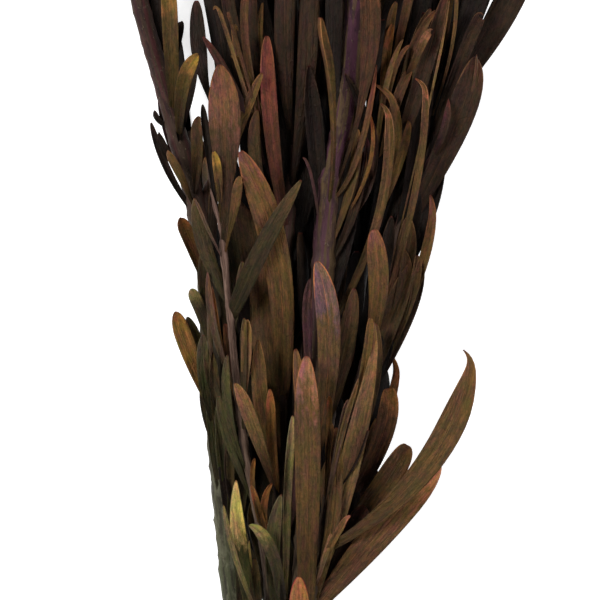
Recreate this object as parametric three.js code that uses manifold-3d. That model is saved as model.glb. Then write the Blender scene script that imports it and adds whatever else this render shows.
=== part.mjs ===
// A tied bunch of preserved leafy branches, lying on a table.
// Units are millimetres. +Y runs from the cut ends to the tips, +X to the right and +Z up from the table.
// Each branch is one body: a tapering stem with strap-shaped leaves growing out of it.

import * as THREE from "three";
import { mergeVertices } from "three/addons/utils/BufferGeometryUtils.js";
import Module from "manifold-3d";

const wasm = await Module();
wasm.setup();

// Sizes that drive the whole bunch
const BUNCH_CENTRE = { x: 9.5, y: 70 }; // middle of the bunch's outline, which is moved to the origin
const TIE_Y = -80; // how far along the bunch the twine is
const TIE_GAP = 0.35; // air between the stems and the twine
const TWINE = 1.9; // thickness of the twine
const TWINE_TURNS = 4;
const STEM_SIDES = 8;
const STEM_STEP = 24; // length of one straight stretch of a stem
const LEAF_THICKNESS = 0.8;
const LEAF_GAP = 0.35; // air kept between branches
const WIDEST_AT = 0.68; // share of a leaf's length where it is widest
const ROOT_WIDTH = 0.34; // width at the root, as a share of the full width
const POINT_WIDTH = 0.2; // width at the blunt tip, as a share of the full width
const LONG_LEAF = 42; // from this length on a leaf has one cross-section more
const LONG_STATIONS = [0, 0.22, 0.52, 0.86, 1];
const SHORT_STATIONS = [0, 0.4, 0.82, 1];
const LIFTS = [0, 1, 2, 3, 4, 5, -1, -2, -3, -4, -5, 6.5, 8, -6.5, -8]; // ways to bend a leaf clear
const GOLDEN_TURN = 137.5; // degrees from one leaf to the next round a stem

// Each branch has a route with rows of [along, across, height] from its cut end to its top, the stem's
// radius at both ends, and leaves with rows of
// [root along, middle x, y, z, tip x, y, z, width, turn on edge in degrees, hook of the tip to the right].
// under and crown say from where to where on the stem, and how many, leaves grow by rule, and how long:
// under the stem, where the bunch lies on the table, and all round the top. facing is the range of directions
// in which these leaves look out from the stem, in degrees, with 0 along +X and 90 up.
const BRANCHES = [
  {
    name: "branch_left",
    colour: 0x4a4338,
    route: [
      [-142, -12.1, 3.6], [-80, -12.5, 6.3], [0, -22.2, 17], [57, -27.7, 21], [90, -30, 23], [110, -31.2, 24],
      [133, -35.2, 25], [170, -45.2, 25], [200, -53.6, 25], [238, -60.6, 24],
    ],
    radius: [4, 2.4],
    leaves: [
      [62, -37.2, 82, 27, -41.3, 96, 26, 5.4, 10, 0],
      [66, -35.5, 81, 23, -37.7, 94.3, 22, 3.4, 0, 0],
      [82, -33.5, 96, 31, -36, 103.7, 32, 4.3, 0, 0],
      [104, -37, 119, 31, -39.5, 127, 32, 4.8, 0, 0],
      [150, -47.6, 158, 26, -48.7, 163.3, 26, 2.2, 0, 0],
      [126, -42.8, 143, 28, -49.7, 159, 27, 2.6, 0, 0],
      [138, -44, 149, 30, -47, 155.3, 30, 2.4, 0, 0],
      [118, -38, 138, 31, -44, 150, 33, 3, 0, 0],
      [146, -39.4, 165.5, 33, -33.7, 181.3, 35, 4.6, 0, 0],
      [148, -37.3, 160, 31, -32, 171.5, 31, 4, 0, 0],
      [158, -43, 187, 35, -44.3, 210, 36, 4.8, 0, 0],
      [168, -41, 184, 31, -39.7, 193.3, 31, 3, 0, 0],
      [150, -46, 186, 23, -47, 222, 22, 6, 0, 0],
      [182, -50, 205, 31, -47, 226, 33, 5, 0, 0],
      [20, -28.4, 50, 25, -30.5, 77, 26, 3, 0, 0],
      [34, -26.5, 52, 30, -27, 72, 32, 3.2, 10, 0],
      [-12, -19, 16, 15, -18.5, 44, 17, 7, 0, 0],
      [118, -42, 150, 0.4, -47, 182, 0.4, 8, 0, 0],
      [44, -26.5, 76, 18, -27.5, 104, 19, 5, 0, 0],
    ],
    under: { from: 8, to: 180, count: 9, length: 40, facing: [266, 352] },
    crown: { from: 184, to: 236, count: 8, length: 42, facing: [0, 360] },
  },
  {
    name: "twig_left",
    colour: 0x6a4f4a,
    route: [
      [-136, -11.4, 10.4], [-80, -11.8, 12.3], [0, -10.4, 29], [20, -12.7, 32], [55, -19, 36], [100, -23.7, 39],
      [123, -26.3, 40], [137, -29.7, 41],
    ],
    radius: [1.7, 1.1],
    leaves: [
      [94, -12, 117.5, 47, 0.3, 139.7, 49, 5.8, 0, 0],
      [117, -24.6, 149, 42, -26.7, 177.7, 40, 10, 0, 0],
      [74, -30.8, 120, 37, -34.2, 164, 35, 6, 0, 0],
      [124, -26.5, 139, 45, -28.7, 149.3, 46, 3, 0, 0],
      [114, -22, 130, 46, -20, 141, 48, 3, 0, 0],
      [130, -32, 151, 38, -32.7, 165, 37, 3, 0, 0],
      [134, -32.6, 172, 37, -34.3, 199.3, 37, 5, 0, 0],
      [131, -21, 155, 45, -12.7, 175, 46, 2.6, 0, 0],
      [60, -17.6, 79, 43, -17.7, 93.7, 44, 3.6, 0, 0],
      [-10, -19, 20, 36, -21.3, 40.3, 37, 5, 0, 0],
      [-18, -16.2, 4, 34, -16.7, 20, 38, 2.6, 0, 0],
      [-14, -20, 13, 33, -25.3, 32.3, 33, 2.4, 0, 0],
      [22, -15.4, 38, 38, -15, 47.7, 40, 2.6, 0, 0],
      [30, -23, 52, 35, -27, 68, 34, 3.4, 0, 0],
      [40, -23.6, 62, 37, -24, 82, 38, 3, 0, 0],
      [44, -27, 66, 33, -31.5, 84, 30, 3.4, 0, 0],
      [128, -28.5, 166, 35, -27.5, 216, 33, 7, 0, 0],
    ],
    under: { from: 4, to: 60, count: 3, length: 30, facing: [230, 350] },
    crown: { from: 0, to: 0, count: 0, length: 0, facing: [0, 360] },
  },
  {
    name: "branch_mid_left",
    colour: 0x453a2e,
    route: [
      [-146, -6.5, 9.3], [-80, -7.1, 11.1], [0, -5, 17], [37, -6.7, 23], [100, -5, 27], [137, -3.3, 28],
      [161, -1, 28], [200, 0, 28], [246, -2, 27],
    ],
    radius: [2.9, 1.4],
    leaves: [
      [64, -8, 111.7, 39, -19.7, 149.3, 42, 9.3, 0, 0],
      [120, -9.3, 155, 37, -11, 187.7, 38, 5.4, 20, 0],
      [150, -4, 193, 35, -5, 227, 36, 7.5, 0, 0],
      [134, 2, 175, 41, 3.3, 220, 41, 7, 0, 0],
      [33, -10.8, 80, 33, -12.7, 118.3, 34, 9.3, 0, 0],
      [34, -12, 62, 38, -14, 86.7, 40, 5.4, 0, 0],
      [30, -8.7, 52, 41, -10, 70.7, 43, 3.6, 0, 0],
      [31, -14.5, 56, 44, -21, 72.3, 46, 5, 0, 0],
      [-6, -3.8, 32, 42, -2.7, 61.7, 45, 3, 10, 0],
      [-16, -9.3, 12, 42, -6.3, 35.7, 47, 5, 0, 0],
      [-12, -9, 14, 46, -16, 26, 50, 4, 0, -2],
      [0, -12, 25, 38, -9.3, 39.3, 42, 3, 0, 0],
      [2, -11.4, 24, 35, -16.3, 38.7, 36, 3.6, 0, 0],
      [118, -19.5, 165, 34, -29, 220, 34, 5, 0, 0],
      [126, -19, 160, 37, -32.3, 187.3, 39, 3.2, 0, 0],
      [130, -15.5, 161, 34, -22.7, 193.3, 33, 2.8, 0, 0],
      [128, -14.5, 172, 38, -15, 213, 38, 3.4, 0, 0],
      [112, -14.5, 141, 38, -14, 163.3, 40, 4.4, 0, 0],
      [150, -12, 188, 32, -19, 220, 31, 7, 0, 0],
      [70, -14, 108, 26, -19.5, 142, 27, 9, 0, 0],
      [100, -13, 136, 23, -18, 170, 24, 9, 0, 0],
      [42, -14, 78, 24, -20.5, 108, 25, 8.5, 0, 0],
      [12, -13.5, 44, 22, -20, 74, 23, 8, 0, 0],
      [-14, -13.5, 14, 17, -18, 42, 20, 7, 0, 0],
      [62, -0.5, 96, 25, 0, 132, 27, 8, 0, 0],
      [106, 2.5, 142, 25, 4.5, 176, 25, 8.5, 0, 0],
      [-22, -2.5, 12, 22, -1.5, 44, 26, 7, 0, 0],
      [136, -18.5, 178, 29, -23, 222, 28, 8, 0, 0],
      [128, -14.5, 167, 40, -22.5, 181, 42, 2.4, 0, 0],
      [130, -12, 175, 39, -12.5, 199.5, 41, 2.6, 0, 0],
      [130, -10.5, 172, 39, -7.5, 195, 40, 2.6, 0, 0],
      [140, -9.5, 182, 29, -11, 226, 28, 8, 0, 0],
      [112, -7, 150, 30, -8, 184, 30, 7, 0, 0],
      [76, -20, 112, 21, -23, 146, 23, 9, 0, 0],
      [40, -20.5, 82, 19, -24.5, 116, 20, 8, 0, 0],
      [24, -19, 66, 18, -22, 98, 19, 8, 0, 0],
    ],
    under: { from: 2, to: 182, count: 11, length: 52, facing: [190, 350] },
    crown: { from: 186, to: 244, count: 9, length: 46, facing: [0, 360] },
  },
  {
    name: "branch_centre",
    colour: 0x4b3540,
    route: [
      [-140, 0.4, 11.4], [-80, -0.3, 13.4], [0, 1, 24], [50, 4, 31], [93, 6.7, 34], [140, 10, 36], [162, 15, 37],
      [183, 17.3, 37], [215, 19, 35], [248, 21, 33],
    ],
    radius: [3.8, 3.1],
    leaves: [
      [38, 9.4, 82, 45, 5.3, 112.7, 47, 8, 0, 0],
      [58, 1, 88, 41, 2.7, 110, 41, 4.4, 0, 0],
      [122, 10.5, 158, 47, 6, 193.3, 51, 6, 62, 1.5],
      [134, 22.6, 179, 46, 21, 223, 46, 9.3, 0, 0],
      [82, 24.6, 124, 42, 27, 166, 44, 7.3, 48, -2.5],
      [150, 11, 188, 41, 12, 222, 42, 6, 0, 0],
      [60, 10.5, 92, 39, 13.5, 124, 38, 7, 0, 0],
      [100, 15.5, 138, 39, 19, 172, 40, 6, 0, 0],
      [112, 5, 146, 38, 3, 178, 40, 6, 0, 0],
      [20, 2, 50, 40, -1.5, 84, 41, 5, 0, 0],
      [46, 13, 74, 40, 18, 104, 41, 6.5, 0, 0],
      [90, 14, 122, 31, 17, 154, 31, 8, 0, 0],
      [20, 0.5, 56, 30, 0.5, 90, 31, 7, 0, 0],
      [140, 6, 178, 30, 5.5, 214, 29, 7, 0, 0],
    ],
    under: { from: 10, to: 182, count: 9, length: 52, facing: [190, 350] },
    crown: { from: 186, to: 246, count: 10, length: 46, facing: [0, 360] },
  },
  {
    name: "branch_mid_right",
    colour: 0x3d332a,
    route: [
      [-138, -4.6, 2.6], [-80, -5.4, 5.3], [0, 1, 10], [37, 5, 13], [75, 13, 16], [122, 22.7, 19], [160, 28.3, 21],
      [200, 31.7, 21], [244, 39, 19],
    ],
    radius: [2.9, 1.4],
    leaves: [
      [125, 23.5, 152, 36, 15, 175, 38, 3.2, 0, 0],
      [122, 32.5, 150, 38, 28, 171.3, 41, 4.4, 0, -3],
      [118, 32, 143, 37, 36.3, 159.3, 38, 4.4, 0, 0],
      [150, 27.5, 175, 38, 31, 192, 40, 4, 0, 0],
      [156, 37, 182, 38, 45, 196, 40, 2.6, 0, 0],
      [128, 31, 172, 31, 35, 214, 32, 8, 0, 0],
      [100, 32, 144, 29, 38, 184, 30, 8, 0, 0],
      [150, 40, 196, 28, 46, 232, 29, 8, 0, 0],
      [58, 15, 92, 0.4, 20, 126, 0.4, 9, 0, 0],
    ],
    under: { from: 4, to: 178, count: 10, length: 50, facing: [190, 350] },
    crown: { from: 182, to: 242, count: 9, length: 46, facing: [0, 360] },
  },
  {
    name: "branch_right",
    colour: 0x483a2f,
    route: [
      [-144, 2.4, 3.3], [-80, 1.2, 5.9], [0, 8, 16], [50, 15, 22], [90, 25, 25], [123, 33.3, 26], [160, 43.3, 26],
      [193, 55, 25], [240, 74, 23],
    ],
    radius: [3.6, 1.4],
    leaves: [
      [80, 25.3, 103, 42, 24.3, 123, 44, 7, 0, 0],
      [72, 37.3, 126, 40, 37, 174.5, 43, 6.4, 55, -2.5],
      [118, 50.2, 153, 37, 58.7, 181, 36, 9, 0, 0],
      [158, 63.5, 189, 29, 79, 223, 28, 10, 0, 0],
      [150, 55, 190, 33, 67, 228, 34, 8, 0, 0],
      [156, 50.6, 187, 39, 50.7, 213, 41, 3.6, 50, 0],
      [138, 46, 153, 41, 48.7, 166.7, 43, 3.8, 0, 0],
      [70, 38, 104, 34, 44, 135, 37, 5, 25, -2.5],
      [78, 32.4, 104, 32, 36, 128, 34, 7.3, 0, 0],
      [60, 30.5, 73, 29, 31, 81.3, 29, 3.2, 0, 0],
      [22, 26.6, 51, 36, 29, 70.3, 37, 6.8, 0, 0],
      [12, 24.5, 34.5, 35, 35.3, 52, 36, 8.3, 0, 0],
      [150, 47.5, 186, 22, 48, 222, 21, 8, 0, 0],
      [56, 29, 86, 33, 38, 112, 33, 8, 0, 0],
      [96, 42, 128, 32, 46.5, 158, 32, 8, 0, 0],
      [40, 22, 66, 37, 25, 92, 38, 6, 0, 0],
      [30, 22, 44, 30, 27, 61, 28, 7, 0, 0],
      [172, 56, 208, 33, 58, 240, 35, 7, 0, 0],
      [120, 40, 160, 34, 41, 196, 36, 7, 0, 0],
      [112, 43, 146, 0.4, 50, 180, 0.4, 9, 0, 0],
    ],
    under: { from: 6, to: 182, count: 10, length: 50, facing: [190, 285] },
    crown: { from: 186, to: 238, count: 8, length: 44, facing: [0, 360] },
  },
  {
    name: "branch_front",
    colour: 0x4c3c2c,
    route: [
      [-132, -5, 16], [-80, -5.2, 18], [-30, 0, 30], [0, 4, 37], [20, 7, 40], [38, 10, 41],
    ],
    radius: [2.6, 1.6],
    leaves: [
      [-16, 2.4, 40, 51, 1.7, 82, 52, 8.8, 0, 0],
      [4, 18.7, 52, 45, 25.7, 92.7, 45, 7.4, 0, 0],
      [28, 14.4, 56, 48, 19.3, 74.3, 50, 3, 20, 0],
      [-4, 26, 23.2, 42, 46.4, 47, 39, 10.8, 0, 0],
      [4, 8.4, 14, 48, 10.3, 23.3, 50, 2.6, 0, 0],
      [10, 11.5, 21, 50, 15.3, 29, 52, 3, 0, 0],
      [-34, -0.6, -9, 48, -0.4, 9, 54, 6.8, 0, 0],
      [-6, 10, 26, 44, 12, 58, 45, 5, 0, 0],
      [16, 36, 40.5, 48, 57.5, 81, 40, 9.5, 0, -3.5],
    ],
    under: { from: 0, to: 30, count: 2, length: 28, facing: [230, 310] },
    crown: { from: 34, to: 38, count: 2, length: 22, facing: [0, 360] },
  },
];

// A repeatable run of draws between 0 and 1
function drawer(seed) {
  let state = seed;
  return () => {
    state = (state * 16807) % 2147483647;
    return state / 2147483647;
  };
}

// Point of a stem's smooth route at one distance along the bunch
function stemPoint(route, y) {
  let i = 0;
  while (i < route.length - 2 && y > route[i + 1][0]) {
    i += 1;
  }
  const from = route[i];
  const to = route[i + 1];
  const before = route[Math.max(i - 1, 0)];
  const after = route[Math.min(i + 2, route.length - 1)];
  const span = to[0] - from[0];
  const t = (y - from[0]) / span;
  const smooth = (k) => {
    const slopeFrom = ((to[k] - before[k]) / (to[0] - before[0])) * span;
    const slopeTo = ((after[k] - from[k]) / (after[0] - from[0])) * span;
    const bend = slopeFrom * (t ** 3 - 2 * t ** 2 + t) + slopeTo * (t ** 3 - t ** 2);
    return from[k] + (to[k] - from[k]) * (3 * t ** 2 - 2 * t ** 3) + bend;
  };
  return new THREE.Vector3(smooth(1), y, smooth(2));
}

// Solid from a closed geometry, and back
function solidOf(geometry) {
  const bare = geometry.clone();
  bare.deleteAttribute("normal");
  bare.deleteAttribute("uv");
  const merged = mergeVertices(bare, 1e-5);
  return new wasm.Manifold(
    new wasm.Mesh({
      numProp: 3,
      vertProperties: new Float32Array(merged.attributes.position.array),
      triVerts: new Uint32Array(merged.index.array),
    }),
  );
}

function geometryOf(solid) {
  const mesh = solid.getMesh();
  const geometry = new THREE.BufferGeometry();
  geometry.setAttribute("position", new THREE.BufferAttribute(new Float32Array(mesh.vertProperties), 3));
  geometry.setIndex(new THREE.BufferAttribute(new Uint32Array(mesh.triVerts), 1));
  geometry.computeVertexNormals();
  return geometry;
}

// Closed skin over equal rings of points, given in order round each ring
function skin(rings) {
  const count = rings[0].length;
  const index = [];
  for (let i = 0; i < rings.length - 1; i += 1) {
    for (let k = 0; k < count; k += 1) {
      const next = (k + 1) % count;
      const [a, b] = [i * count + k, i * count + next];
      const flipped = count === 4 && k === 2; // both faces of a blade are split along the same diagonal
      if (flipped) {
        index.push(a, b, a + count, b, b + count, a + count);
      } else {
        index.push(a, b, b + count, a, b + count, a + count);
      }
    }
  }
  const last = (rings.length - 1) * count;
  for (let k = 1; k < count - 1; k += 1) {
    index.push(0, k + 1, k);
    index.push(last, last + k, last + k + 1);
  }
  const geometry = new THREE.BufferGeometry();
  const flat = rings.flat().flatMap((point) => [point.x, point.y, point.z]);
  geometry.setAttribute("position", new THREE.BufferAttribute(new Float32Array(flat), 3));
  geometry.setIndex(index);
  return geometry;
}

function stemSolid(branch) {
  const start = branch.route[0][0];
  const end = branch.route[branch.route.length - 1][0];
  const steps = Math.ceil((end - start) / STEM_STEP);
  const rings = [];
  for (let i = 0; i <= steps; i += 1) {
    const share = i / steps;
    const centre = stemPoint(branch.route, start + (end - start) * share);
    const radius = THREE.MathUtils.lerp(branch.radius[0], branch.radius[1], share);
    const ring = [];
    for (let k = 0; k < STEM_SIDES; k += 1) {
      const angle = -((k + 0.5) * 2 * Math.PI) / STEM_SIDES;
      const point = new THREE.Vector3(radius * Math.cos(angle), 0, radius * Math.sin(angle)).add(centre);
      ring.push(point.setZ(Math.max(point.z, 0)));
    }
    rings.push(ring);
  }
  return solidOf(skin(rings));
}

// A leaf's middle line is a parabola through its root, middle and tip. A lift raises its outer part.
function leafPoint(leaf, t, lift) {
  const control = leaf.mid.clone().multiplyScalar(2).sub(leaf.root.clone().add(leaf.tip).multiplyScalar(0.5));
  const point = leaf.root.clone().multiplyScalar((1 - t) ** 2);
  point.addScaledVector(control, 2 * t * (1 - t)).addScaledVector(leaf.tip, t ** 2);
  point.z += lift * t * (2 - t);
  point.x += leaf.hook * Math.max(0, (t - 0.8) / 0.2) ** 2;
  return point;
}

function leafWidth(t) {
  if (t < WIDEST_AT) {
    return ROOT_WIDTH + (1 - ROOT_WIDTH) * Math.sin(((t / WIDEST_AT) * Math.PI) / 2);
  }
  const past = (t - WIDEST_AT) / (1 - WIDEST_AT);
  return Math.sqrt(1 - (1 - POINT_WIDTH ** 2) * past ** 2.2);
}

// Blade from the given station on, made fatter by a margin all round
function bladeSolid(leaf, lift, margin, from) {
  const length = leaf.root.distanceTo(leaf.mid) + leaf.mid.distanceTo(leaf.tip);
  const stations = length > LONG_LEAF ? LONG_STATIONS : SHORT_STATIONS;
  const half = LEAF_THICKNESS / 2 + margin;
  const rings = stations.slice(from).map((t) => {
    const along = leafPoint(leaf, Math.min(t + 0.02, 1), lift).sub(leafPoint(leaf, Math.max(t - 0.02, 0), lift));
    along.normalize();
    const up = leaf.face.clone().addScaledVector(along, -leaf.face.dot(along)).normalize();
    const side = along.clone().cross(up).multiplyScalar((leaf.width * leafWidth(t)) / 2 + margin);
    up.multiplyScalar(half);
    const centre = leafPoint(leaf, t, lift);
    const corners = [
      centre.clone().sub(side).add(up),
      centre.clone().add(side).add(up),
      centre.clone().add(side).sub(up),
      centre.clone().sub(side).sub(up),
    ];
    corners.forEach((corner, k) => {
      const floor = k < 2 ? LEAF_THICKNESS : 0;
      corner.z = Math.max(corner.z, floor);
    });
    return corners;
  });
  return solidOf(skin(rings));
}

function listedLeaf(branch, row) {
  const [rootY, midX, midY, midZ, tipX, tipY, tipZ, width, turn, hook] = row;
  const angle = THREE.MathUtils.degToRad(turn);
  return {
    root: stemPoint(branch.route, rootY),
    mid: new THREE.Vector3(midX, midY, midZ),
    tip: new THREE.Vector3(tipX, tipY, tipZ),
    face: new THREE.Vector3(Math.sin(angle), 0, Math.cos(angle)),
    width,
    hook,
  };
}

// Leaves that grow by rule: each a golden turn further round the stem, leaning out from it
function ruledLeaves(branch, group, seed) {
  const draw = drawer(seed);
  const leaves = [];
  for (let i = 0; i < group.count; i += 1) {
    const share = (i + draw()) / group.count;
    const root = stemPoint(branch.route, THREE.MathUtils.lerp(group.from, group.to, share));
    const ahead = stemPoint(branch.route, root.y + 4).sub(root).normalize();
    const turn = ((i * GOLDEN_TURN) % 360) / 360;
    const angle = THREE.MathUtils.degToRad(THREE.MathUtils.lerp(group.facing[0], group.facing[1], turn));
    const out = new THREE.Vector3(Math.cos(angle), 0, Math.sin(angle));
    const length = group.length * (0.75 + 0.45 * draw());
    const lean = THREE.MathUtils.degToRad(9 + 12 * draw());
    const reach = ahead.multiplyScalar(length * Math.cos(lean));
    const spread = length * Math.sin(lean);
    leaves.push({
      root,
      mid: root.clone().addScaledVector(reach, 0.5).addScaledVector(out, spread * (0.6 + 0.2 * draw())),
      tip: root.clone().add(reach).addScaledVector(out, spread),
      face: out,
      width: (group.length / 6.5) * (0.8 + 0.4 * draw()),
      hook: 0,
    });
  }
  return leaves;
}

// All leaves in the order in which they are placed: the listed ones from the table up, then the others
function allLeaves() {
  const listed = [];
  const ruled = [];
  BRANCHES.forEach((branch, number) => {
    branch.leaves.forEach((row) => listed.push({ number, listed: true, ...listedLeaf(branch, row) }));
    ruledLeaves(branch, branch.under, 11 + number).forEach((leaf) => ruled.push({ number, listed: false, ...leaf }));
    ruledLeaves(branch, branch.crown, 31 + number).forEach((leaf) => ruled.push({ number, listed: false, ...leaf }));
  });
  listed.sort((a, b) => a.mid.z - b.mid.z);
  return [...listed, ...ruled];
}

function boxesMeet(a, b) {
  return [0, 1, 2].every((k) => a.min[k] <= b.max[k] && b.min[k] <= a.max[k]);
}

// Bends each leaf clear of what is there, and leaves out one that finds no room
function growBranches() {
  const stems = BRANCHES.map((branch) => stemSolid(branch));
  const placed = stems.map((solid, number) => ({ number, solid, outer: null, box: solid.boundingBox() }));
  const grown = stems.map((stem) => [stem]);
  const hits = (probe, box, test) => placed.some((other) => {
    const solid = test(other);
    return solid !== null && boxesMeet(box, other.box) && !probe.intersect(solid).isEmpty();
  });
  for (const leaf of allLeaves()) {
    const clearOfOthers = (lift) => {
      const probe = bladeSolid(leaf, lift, LEAF_GAP, 0);
      return !hits(probe, probe.boundingBox(), (other) => (other.number === leaf.number ? null : other.solid));
    };
    const clearOfOwn = (lift) => {
      const probe = bladeSolid(leaf, lift, 0, 1);
      return !hits(probe, probe.boundingBox(), (other) => (other.number === leaf.number ? other.outer : null));
    };
    const open = LIFTS.filter(clearOfOthers);
    const lift = open.find(clearOfOwn) ?? (leaf.listed ? open[0] : undefined);
    if (lift !== undefined) {
      const solid = bladeSolid(leaf, lift, 0, 0);
      const outer = bladeSolid(leaf, lift, 0, 1);
      placed.push({ number: leaf.number, solid, outer, box: solid.boundingBox() });
      grown[leaf.number].push(solid);
    }
  }
  return grown.map((solids) => {
    const pieces = wasm.Manifold.union(solids).decompose();
    return pieces.reduce((largest, piece) => (piece.volume() > largest.volume() ? piece : largest));
  });
}

// Twine wound round the stems, following the outline that they make together
function tieGeometry() {
  const halfWidth = (TWINE * TWINE_TURNS) / 2;
  const hull = (margin) => {
    const points = [];
    for (let k = 0; k < 24; k += 1) {
      const angle = -(k * 2 * Math.PI) / 24;
      const out = new THREE.Vector3(Math.cos(angle), 0, Math.sin(angle));
      const reach = (branch, y) => {
        const centre = stemPoint(branch.route, y);
        const length = branch.route[branch.route.length - 1][0] - branch.route[0][0];
        const share = (y - branch.route[0][0]) / length;
        const radius = THREE.MathUtils.lerp(branch.radius[0], branch.radius[1], share);
        return centre.addScaledVector(out, radius + TIE_GAP + margin);
      };
      const sides = [TIE_Y - halfWidth, TIE_Y + halfWidth];
      const ends = BRANCHES.flatMap((branch) => sides.map((y) => reach(branch, y)));
      points.push(ends.reduce((best, point) => (point.dot(out) > best.dot(out) ? point : best)));
    }
    return points;
  };
  const steps = TWINE_TURNS * 2;
  const outer = [];
  for (let i = 0; i <= steps; i += 1) {
    const y = (i / steps - 0.5) * TWINE * TWINE_TURNS;
    const margin = i % 2 === 1 ? TWINE : TWINE * 0.6;
    outer.push(hull(margin).map((point) => point.setY(TIE_Y + y)));
  }
  const inner = [TIE_Y + halfWidth, TIE_Y - halfWidth].map((y) => hull(0).map((point) => point.setY(y)));
  const rings = [...outer, ...inner];
  const count = rings[0].length;
  const index = [];
  for (let i = 0; i < rings.length; i += 1) {
    for (let k = 0; k < count; k += 1) {
      const next = (k + 1) % count;
      const ahead = (i + 1) % rings.length;
      const [a, b, c, d] = [i * count + k, i * count + next, ahead * count + next, ahead * count + k];
      index.push(a, b, c, a, c, d);
    }
  }
  const geometry = new THREE.BufferGeometry();
  const flat = rings.flat().flatMap((point) => [point.x, point.y, Math.max(point.z, 0)]);
  geometry.setAttribute("position", new THREE.BufferAttribute(new Float32Array(flat), 3));
  geometry.setIndex(index);
  return geometry;
}

const bunch = new THREE.Group();
bunch.position.set(-BUNCH_CENTRE.x, -BUNCH_CENTRE.y, 0);

growBranches().forEach((solid, number) => {
  const { name, colour } = BRANCHES[number];
  const leafSkin = new THREE.MeshStandardMaterial({ color: colour, roughness: 0.55, metalness: 0 });
  const mesh = new THREE.Mesh(geometryOf(solid), leafSkin);
  mesh.name = name;
  bunch.add(mesh);
});

const twine = new THREE.MeshStandardMaterial({ color: 0x9a8560, roughness: 0.9, metalness: 0 });
const tie = new THREE.Mesh(tieGeometry(), twine);
tie.name = "tie_twine";
bunch.add(tie);

export default bunch;
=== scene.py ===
import math
import bpy
from mathutils import Matrix, Vector, noise
from mathutils.bvhtree import BVHTree


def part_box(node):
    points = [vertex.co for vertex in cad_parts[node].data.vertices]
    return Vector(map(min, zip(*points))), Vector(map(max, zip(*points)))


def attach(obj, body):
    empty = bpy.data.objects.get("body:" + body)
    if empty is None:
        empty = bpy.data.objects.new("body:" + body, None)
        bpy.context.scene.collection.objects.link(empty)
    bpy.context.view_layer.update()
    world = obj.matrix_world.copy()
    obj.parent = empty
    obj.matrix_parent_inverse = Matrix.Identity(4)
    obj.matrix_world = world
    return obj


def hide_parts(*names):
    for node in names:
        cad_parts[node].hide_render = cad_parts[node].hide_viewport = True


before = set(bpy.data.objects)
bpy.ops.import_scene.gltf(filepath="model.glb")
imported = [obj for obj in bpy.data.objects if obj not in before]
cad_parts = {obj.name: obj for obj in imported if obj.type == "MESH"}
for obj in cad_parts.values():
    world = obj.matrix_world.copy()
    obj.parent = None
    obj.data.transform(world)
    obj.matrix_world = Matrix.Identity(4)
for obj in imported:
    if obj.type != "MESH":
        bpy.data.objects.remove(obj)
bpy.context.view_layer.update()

# The camera looks straight down on the lying bunch, with the cut ends towards the lower edge of the picture.
# It takes in a square of 200 mm from a long way off, so that both the tips and the cut ends run out of view.
# Places are in mm: x and y from the middle of that square's lower edge, z up from the floor.
MM = 0.001
BUNCH_CENTRE = Vector((9.5, 70, 0))
VIEW_CENTRE = Vector((0, 100, 30))
VIEW_SIDE = 200
CAMERA_HEIGHT = 1900
SENSOR_WIDTH = 36
SIGHT_METRES = 20
lens = bpy.data.cameras.new("camera")
lens.sensor_width = SENSOR_WIDTH
lens.lens = SENSOR_WIDTH * CAMERA_HEIGHT / VIEW_SIDE
lens.clip_end = SIGHT_METRES
camera = bpy.data.objects.new("camera", lens)
camera.location = (VIEW_CENTRE + Vector((0, 0, CAMERA_HEIGHT)) - BUNCH_CENTRE) * MM
bpy.context.scene.collection.objects.link(camera)
bpy.context.scene.camera = camera
bpy.context.scene.view_settings.view_transform = "Standard"


# The floor is a plain white sheet that glows a little. A broad soft light stands at the upper left, a weaker
# one at the right, and an even white surround lifts the shadows.
class Number:
    """A number that changes over a surface. Sums and products of it add Math nodes."""

    def __init__(self, finish, socket):
        self.finish = finish
        self.socket = socket

    def math(self, operation, *values):
        return self.finish.node("ShaderNodeMath", {"operation": operation}, *values)

    def __add__(self, other):
        return self.math("ADD", self, other)

    def __sub__(self, other):
        return self.math("SUBTRACT", self, other)

    def __rsub__(self, other):
        return self.math("SUBTRACT", other, self)

    def __mul__(self, other):
        return self.math("MULTIPLY", self, other)

    __radd__ = __add__
    __rmul__ = __mul__

    def size(self):
        return self.math("ABSOLUTE", self)

    def rise(self, low, high):
        """0 below low, 1 above high and smooth between."""
        settings = {"interpolation_type": "SMOOTHSTEP"}
        return self.finish.node("ShaderNodeMapRange", settings, Value=self, From_Min=low, From_Max=high)


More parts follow.
